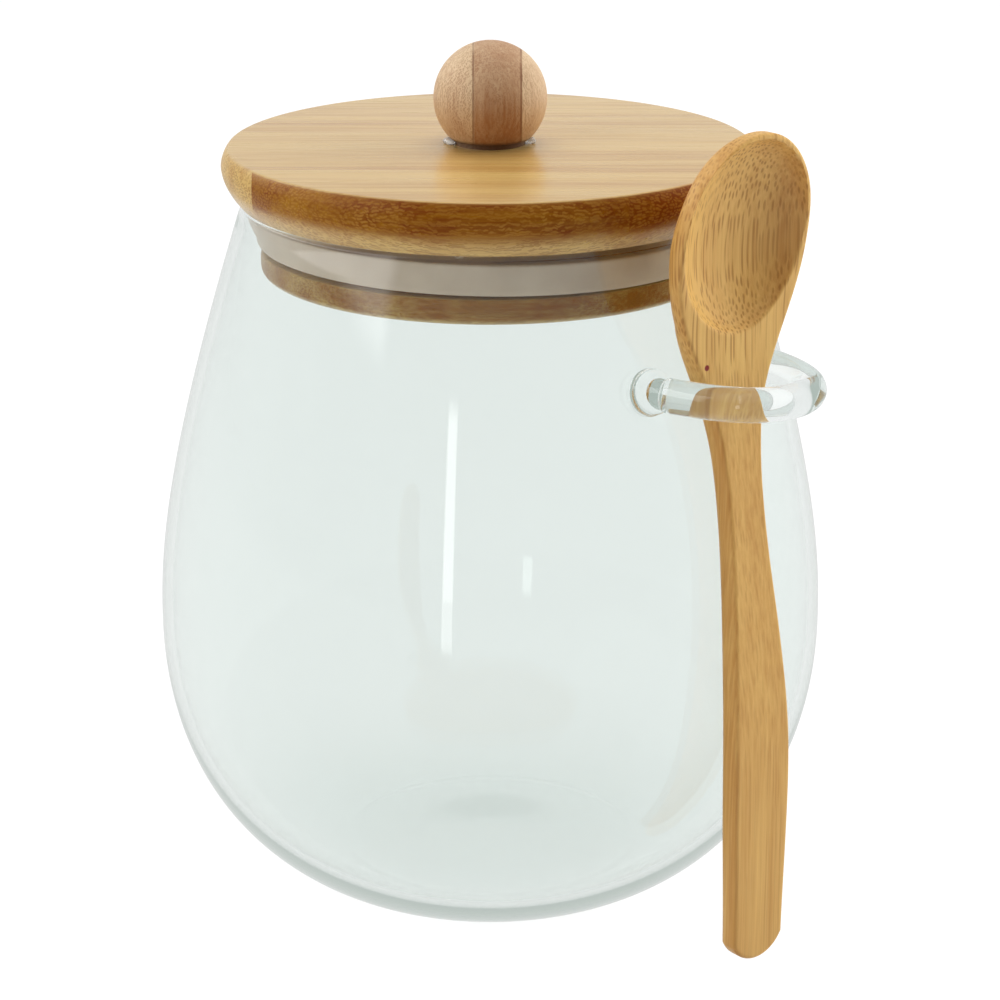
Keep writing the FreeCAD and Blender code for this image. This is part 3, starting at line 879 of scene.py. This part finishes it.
def between(stations, height):
    # a smooth cubic through the stations
    last = len(stations) - 1
    slopes = []
    for i in range(last + 1):
        low, high = stations[max(i - 1, 0)], stations[min(i + 1, last)]
        slopes.append([(b - a) / (high[0] - low[0]) for a, b in zip(low, high)])
    i = max(k for k in range(last) if stations[k][0] <= height or k == 0)
    low, high = stations[i], stations[i + 1]
    step = high[0] - low[0]
    t = (height - low[0]) / step
    return [easedStep(*ends, step, t) for ends in zip(low, high, slopes[i], slopes[i + 1])]


def sideSpline():
    # half widths of the handle, joined by a smooth cubic that is upright at both ends
    s = spoonSizes
    knots = [(s["tip"] + s["tipRound"], s["tipWidth"] / 2), (s["widest"], s["handleWidth"] / 2),
             (bellyHeight + 15, s["handleWidth"] * 0.4),
             (loopHeight - s["waistBelow"], s["waistWidth"] / 2),
             (loopHeight, s["neckWidth"] / 2),
             (loopHeight + s["shoulderAbove"], s["shoulderWidth"] / 2),
             (bowlCentre, s["bowlWidth"] / 2)]
    n = len(knots)
    slopes = [0.0] * n
    for _ in range(200):   # relaxes the slopes until the bends match at every knot
        for i in range(1, n - 1):
            (z0, w0), (z1, w1), (z2, w2) = knots[i - 1:i + 2]
            h0, h1 = z1 - z0, z2 - z1
            d0, d1 = (w1 - w0) / h0, (w2 - w1) / h1
            pull = 3 * (d0 / h0 + d1 / h1) - slopes[i - 1] / h0 - slopes[i + 1] / h1
            slopes[i] = pull / (2 / h0 + 2 / h1)
    return knots, slopes


sideKnots, sideSlopes = sideSpline()


def halfWidthSquared(z):
    s = spoonSizes
    if z >= bowlCentre:
        return (s["bowlWidth"] / 2) ** 2 * max(0.0, 1 - ((z - bowlCentre) / s["bowlHalf"]) ** 2)
    tipTop = s["tip"] + s["tipRound"]
    if z <= tipTop:
        half = s["tipWidth"] / 2
        radius = (half ** 2 + s["tipRound"] ** 2) / (2 * s["tipRound"])
        return max(0.0, radius ** 2 - (radius - (z - s["tip"])) ** 2)
    i = max(k for k in range(len(sideKnots) - 1) if sideKnots[k][0] <= z)
    (z0, a), (z1, b) = sideKnots[i], sideKnots[i + 1]
    h = z1 - z0
    return easedStep(a, b, sideSlopes[i], sideSlopes[i + 1], h, (z - z0) / h) ** 2


def rounding(distance, radius):
    # how far a rounded edge drops at a distance in from it
    d = min(max(distance, 0.0), radius)
    return radius - sqrt(max(0.0, radius ** 2 - (radius - d) ** 2))


def hollowSurface():
    # the bowl's hollow is part of a tilted ellipsoid; gives its far side along Y, or None
    s = spoonSizes
    deep = s["hollowDepth"] + s["hollowLift"]
    rim = 1 / sqrt(1 - (s["hollowLift"] / deep) ** 2)
    axes = Vector((s["hollowWidth"] / 2 * rim, deep, s["hollowLength"] / 2 * rim))
    turn = (Matrix.Rotation(atan2(s["lean"] * 0.55, s["bowlHalf"]), 3, "X")
            @ Matrix.Rotation(radians(-s["hollowRoll"]), 3, "Y"))
    centre = Vector((s["hollowShift"], -neckFront - s["lean"] * 0.25 - s["hollowLift"],
                     bowlCentre + s["hollowRise"]))
    back = turn.transposed()

    def depthAt(x, z):
        start = back @ Vector((x - centre.x, -centre.y, z - centre.z))
        way = back @ Vector((0, 1, 0))
        a = sum((w / k) ** 2 for w, k in zip(way, axes))
        b = sum(w * p / k ** 2 for w, p, k in zip(way, start, axes))
        c = sum((p / k) ** 2 for p, k in zip(start, axes)) - 1
        inside = b * b - a * c
        if inside <= 0:
            return None
        return (-b + sqrt(inside)) / a

    return depthAt


def softMax(a, b, softness):
    h = max(softness - abs(a - b), 0.0) / softness
    return max(a, b) + h * h * softness / 4


def spoonRows():
    s, g = spoonSizes, spoonGrid
    tip, top = g["tipRows"], g["topRows"]
    rows = [s["tip"] + s["tipRound"] * (1 - cos(pi / 2 * i / tip)) for i in range(1, tip + 1)]
    z = rows[-1]
    while z < bowlCentre - 0.2:
        z += g["handleStep"] if z < loopHeight - g["fineBelow"] else g["bowlStep"]
        rows.append(min(z, bowlCentre))
    return rows + [bowlCentre + s["bowlHalf"] * sin(pi / 2 * i / top) for i in range(1, top)]


def spoonColumns(half):
    g = spoonGrid
    inner = g["innerColumns"]
    shrink = min(1.0, half / g["narrow"])
    left = [-(half - e * shrink) for e in g["edgeSteps"]]
    stop = half - g["edgeBand"] * shrink
    middle = [-stop + 2 * stop * i / inner for i in range(inner + 1)]
    return left + middle + [-x for x in left[::-1]]


def spoonFaces(rows, columns, total):
    # front, back and both sides; the back's points follow the front's
    faces = []
    for r in range(rows - 1):
        for c in range(columns - 1):
            a, b = r * columns + c, r * columns + c + 1
            e, d = a + columns, b + columns
            faces.append((a, b, d, e))
            faces.append((a + total, e + total, d + total, b + total))
        for c in (0, columns - 1):
            a, b = r * columns + c, (r + 1) * columns + c
            faces.append((a, b, b + total, a + total))
    return faces


def makeSpoon():
    s, step = spoonSizes, spoonGrid["slopeStep"]
    stations, hollow, rows = spoonStations(), hollowSurface(), spoonRows()
    count = len(spoonColumns(spoonGrid["narrow"]))
    front, back = [], []
    for z in rows:
        squared = halfWidthSquared(z)
        change = (halfWidthSquared(min(z + step, spoonTop))
                  - halfWidthSquared(max(z - step, s["tip"]))) / (2 * step)
        _, face, thickness, stationHalf = between(stations, z)
        share = min(max((z - loopHeight) / s["bowlStart"], 0), 1)
        side = (thickness - s["crown"]) * (1 - share) + s["bowlSide"] * share
        side = min(side, thickness * 0.98)
        for x in spoonColumns(sqrt(squared)):
            away = (squared - x * x) / sqrt(change ** 2 + 4 * x * x + 1e-9)
            yFront = -face + rounding(away, s["frontRound"])
            dip = hollow(x, z)
            if dip is not None:
                yFront = softMax(yFront, dip, s["rimSoftness"])
            yBack = (-face + thickness - (thickness - side) * (x / stationHalf) ** 2
                     - rounding(away, s["backRound"]))
            front.append((x, yFront, z))
            back.append((x, yBack, z))
    points = front + back
    total = len(rows) * count
    faces = spoonFaces(len(rows), count, total)
    for row, height in ((0, s["tip"]), (len(rows) - 1, spoonTop)):   # closes both ends
        _, face, thick, _ = between(stations, height)
        mid = len(points)
        points += [(0, -face + s["frontRound"], height),
                   (0, -face + thick - s["backRound"], height)]
        for c in range(count - 1):
            a = row * count + c
            faces.append((a, a + 1, mid))
            faces.append((a + total, a + 1 + total, mid + 1))
        for c in (0, count - 1):
            a = row * count + c
            faces.append((a, mid, mid + 1, a + total))
    piece = newMesh("spoonBoard", [tuple(v * mm for v in p) for p in points], faces)
    neck = Vector((0, (neckThickness / 2 - neckFront) * mm, loopHeight * mm))
    piece.data.transform(Matrix.Translation(Vector((s["shift"] * mm, 0, 0)) + neck)
                         @ Matrix.Rotation(radians(s["roll"]), 4, "Y")
                         @ Matrix.Rotation(radians(-s["turn"]), 4, "Z")
                         @ Matrix.Translation(-neck))
    piece.data.materials.append(spoonBamboo)
    tidyMesh(piece, s["sharpDegrees"])
    return piece


spoonBoard = makeSpoon()
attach(spoonBoard, "root")
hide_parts("spoon")
print("spoon made,", len(spoonBoard.data.polygons), "faces")


studio = {
    "floorSize": 4.0, "floorDrop": 0.0002,
    "floorSeen": 0.25, "floorWhite": 0.85, "floorGlow": 0.84,
    "fillTop": 0.60, "fillBack": 0.70, "fillFront": 0.16,
    "glossyBack": 0.76, "glossyFront": 0.12, "glossyFloor": 0.85, "glossyNearFloor": 0.22,
    "insideGlass": 0.80,
    "nearRange": (-0.35, 0.65), "highRange": (0.35, 0.9), "lowRange": (-0.02, -0.12),
    "paneSide": 0.85, "paneFoot": 3, "paneHead": 2,   # how the panes' edges fade
}
# bright panes mirrored in the glass: heading round from the camera, half width, lowest and
# highest, all in degrees, strength, and how much is left once it has passed through glass
windows = [
    (-14.3, 1.9, -10, 15, 3.2, 0.8),
    (-88, 47, 13, 50, 2.6, 0.06),
]


def seenRays(tree):
    path = lightPath(tree)
    return calc(tree, "MAXIMUM", path["Is Camera Ray"], path["Is Transmission Ray"])


def makeFloor():
    half = studio["floorSize"] / 2
    corners = [(x * half, y * half, -studio["floorDrop"])
               for x, y in ((-1, -1), (1, -1), (1, 1), (-1, 1))]
    floor = newMesh("studioFloor", corners, [(0, 1, 2, 3)])
    material, tree, shader = newMaterial("studioWhite")
    seen = seenRays(tree)
    level = fit(tree, seen, 0.0, 1.0, studio["floorWhite"], studio["floorSeen"], "LINEAR")
    grey = addNode(tree, "ShaderNodeCombineColor", {0: level, 1: level, 2: level})
    feed(tree, shader, {"Base Color": grey, "Roughness": 0.9, "Specular IOR Level": 0.0,
                        "Emission Color": (1, 1, 1, 1),
                        "Emission Strength": times(tree, seen, studio["floorGlow"])})
    floor.data.materials.append(material)
    floor.visible_glossy = False   # mirrored light comes from the world instead


def makeWorld():
    s = studio
    world = bpy.data.worlds.new("studioWorld")
    scene.world = world
    world.use_nodes = True
    tree = world.node_tree
    tree.nodes.clear()
    way = addNode(tree, "ShaderNodeTexCoord").outputs["Generated"]
    front, right = (vectorMath(tree, "DOT_PRODUCT", way, tuple(axis))["Value"]
                    for axis in (toCamera, toRight))
    up = addNode(tree, "ShaderNodeSeparateXYZ", {"Vector": way}).outputs["Z"]
    near = fit(tree, front, *s["nearRange"])
    high = fit(tree, up, *s["highRange"])
    low = fit(tree, up, *s["lowRange"])
    level = fit(tree, near, 0.0, 1.0, s["fillBack"], s["fillFront"], "LINEAR")
    level = plus(tree, level, times(tree, high, minus(tree, s["fillTop"], level)))

    # what shiny surfaces mirror: pale all round, dim on the camera's side, with two bright panes
    mirrored = fit(tree, times(tree, near, minus(tree, 1.0, high)), 0.0, 1.0,
                   s["glossyBack"], s["glossyFront"], "LINEAR")
    ground = fit(tree, near, 0.0, 1.0, s["glossyFloor"], s["glossyNearFloor"], "LINEAR")
    mirrored = towards(tree, low, mirrored, ground)
    heading = calc(tree, "ARCTAN2", right, front)
    rise = calc(tree, "ARCSINE", up)
    path = lightPath(tree)
    through = calc(tree, "GREATER_THAN", path["Transmission Depth"], 0.5)
    mirrored = towards(tree, through, mirrored, s["insideGlass"])
    level = towards(tree, path["Is Glossy Ray"], level, mirrored)
    level = towards(tree, seenRays(tree), level, 1.0)
    bounced = calc(tree, "GREATER_THAN", path["Glossy Depth"], 0.5)
    for turn, half, bottom, top, strength, left in windows:
        shown = times(tree, bounced, fit(tree, through, 0.0, 1.0, 1.0, left, "LINEAR"))
        away = calc(tree, "ABSOLUTE", minus(tree, heading, radians(turn)))
        edges = ((away, half, half * s["paneSide"]), (rise, bottom, bottom + s["paneFoot"]),
                 (rise, top, top - s["paneHead"]))
        for value, outer, inner in edges:
            edge = fit(tree, value, radians(outer), radians(inner))
            shown = times(tree, shown, edge)
        level = calc(tree, "MULTIPLY_ADD", shown, strength, level)
    light = addNode(tree, "ShaderNodeBackground", {"Color": (1, 1, 1, 1), "Strength": level})
    addNode(tree, "ShaderNodeOutputWorld", {"Surface": light})


# places are in metres from the jar's axis, to the camera's right and towards the camera
lamps = {
    "topSoftbox": {"right": 0.0, "near": -0.25, "height": 1.0, "size": 0.9, "power": 4.2},
    "rightSoftbox": {"right": 0.95, "near": -0.15, "height": 0.4, "size": 0.8, "power": 6.6},
    "leftSoftbox": {"right": -0.8075, "near": 0.42, "height": 0.4, "size": 0.8, "power": 3.8},
}
lampTarget = Vector((0, 0, 0.07))


def addLamp(name, s):
    place = toRight * s["right"] + toCamera * s["near"] + Vector((0, 0, s["height"]))
    data = bpy.data.lights.new(name, "AREA")
    data.shape = "RECTANGLE"
    data.size = data.size_y = s["size"]
    data.energy = s["power"]
    lamp = bpy.data.objects.new(name, data)
    lamp.location = place
    lamp.rotation_euler = (lampTarget - place).to_track_quat("-Z", "Y").to_euler()
    lamp.visible_glossy = lamp.visible_camera = lamp.visible_transmission = False
    scene.collection.objects.link(lamp)


cameraSizes = {
    "distance": 0.5172, "elevation": 19.21, "target": 0.0716, "lens": 101.04, "sensor": 36,
    "shiftX": 0.0097, "shiftY": -0.003, "nearClip": 0.01,
}


def makeCamera():
    s = cameraSizes
    data = bpy.data.cameras.new("studioCamera")
    data.sensor_width = s["sensor"]
    data.lens = s["lens"]
    data.shift_x = s["shiftX"]
    data.shift_y = s["shiftY"]
    data.clip_start = s["nearClip"]
    camera = bpy.data.objects.new("studioCamera", data)
    rise = radians(s["elevation"])
    back = toCamera * cos(rise) + Vector((0, 0, sin(rise)))
    camera.location = Vector((0, 0, s["target"])) + back * s["distance"]
    camera.rotation_euler = (-back).to_track_quat("-Z", "Y").to_euler()
    scene.collection.objects.link(camera)
    scene.camera = camera


makeFloor()
makeWorld()
for name, sizes in lamps.items():
    addLamp(name, sizes)
makeCamera()
scene.view_settings.view_transform = "Standard"
print("studio made")
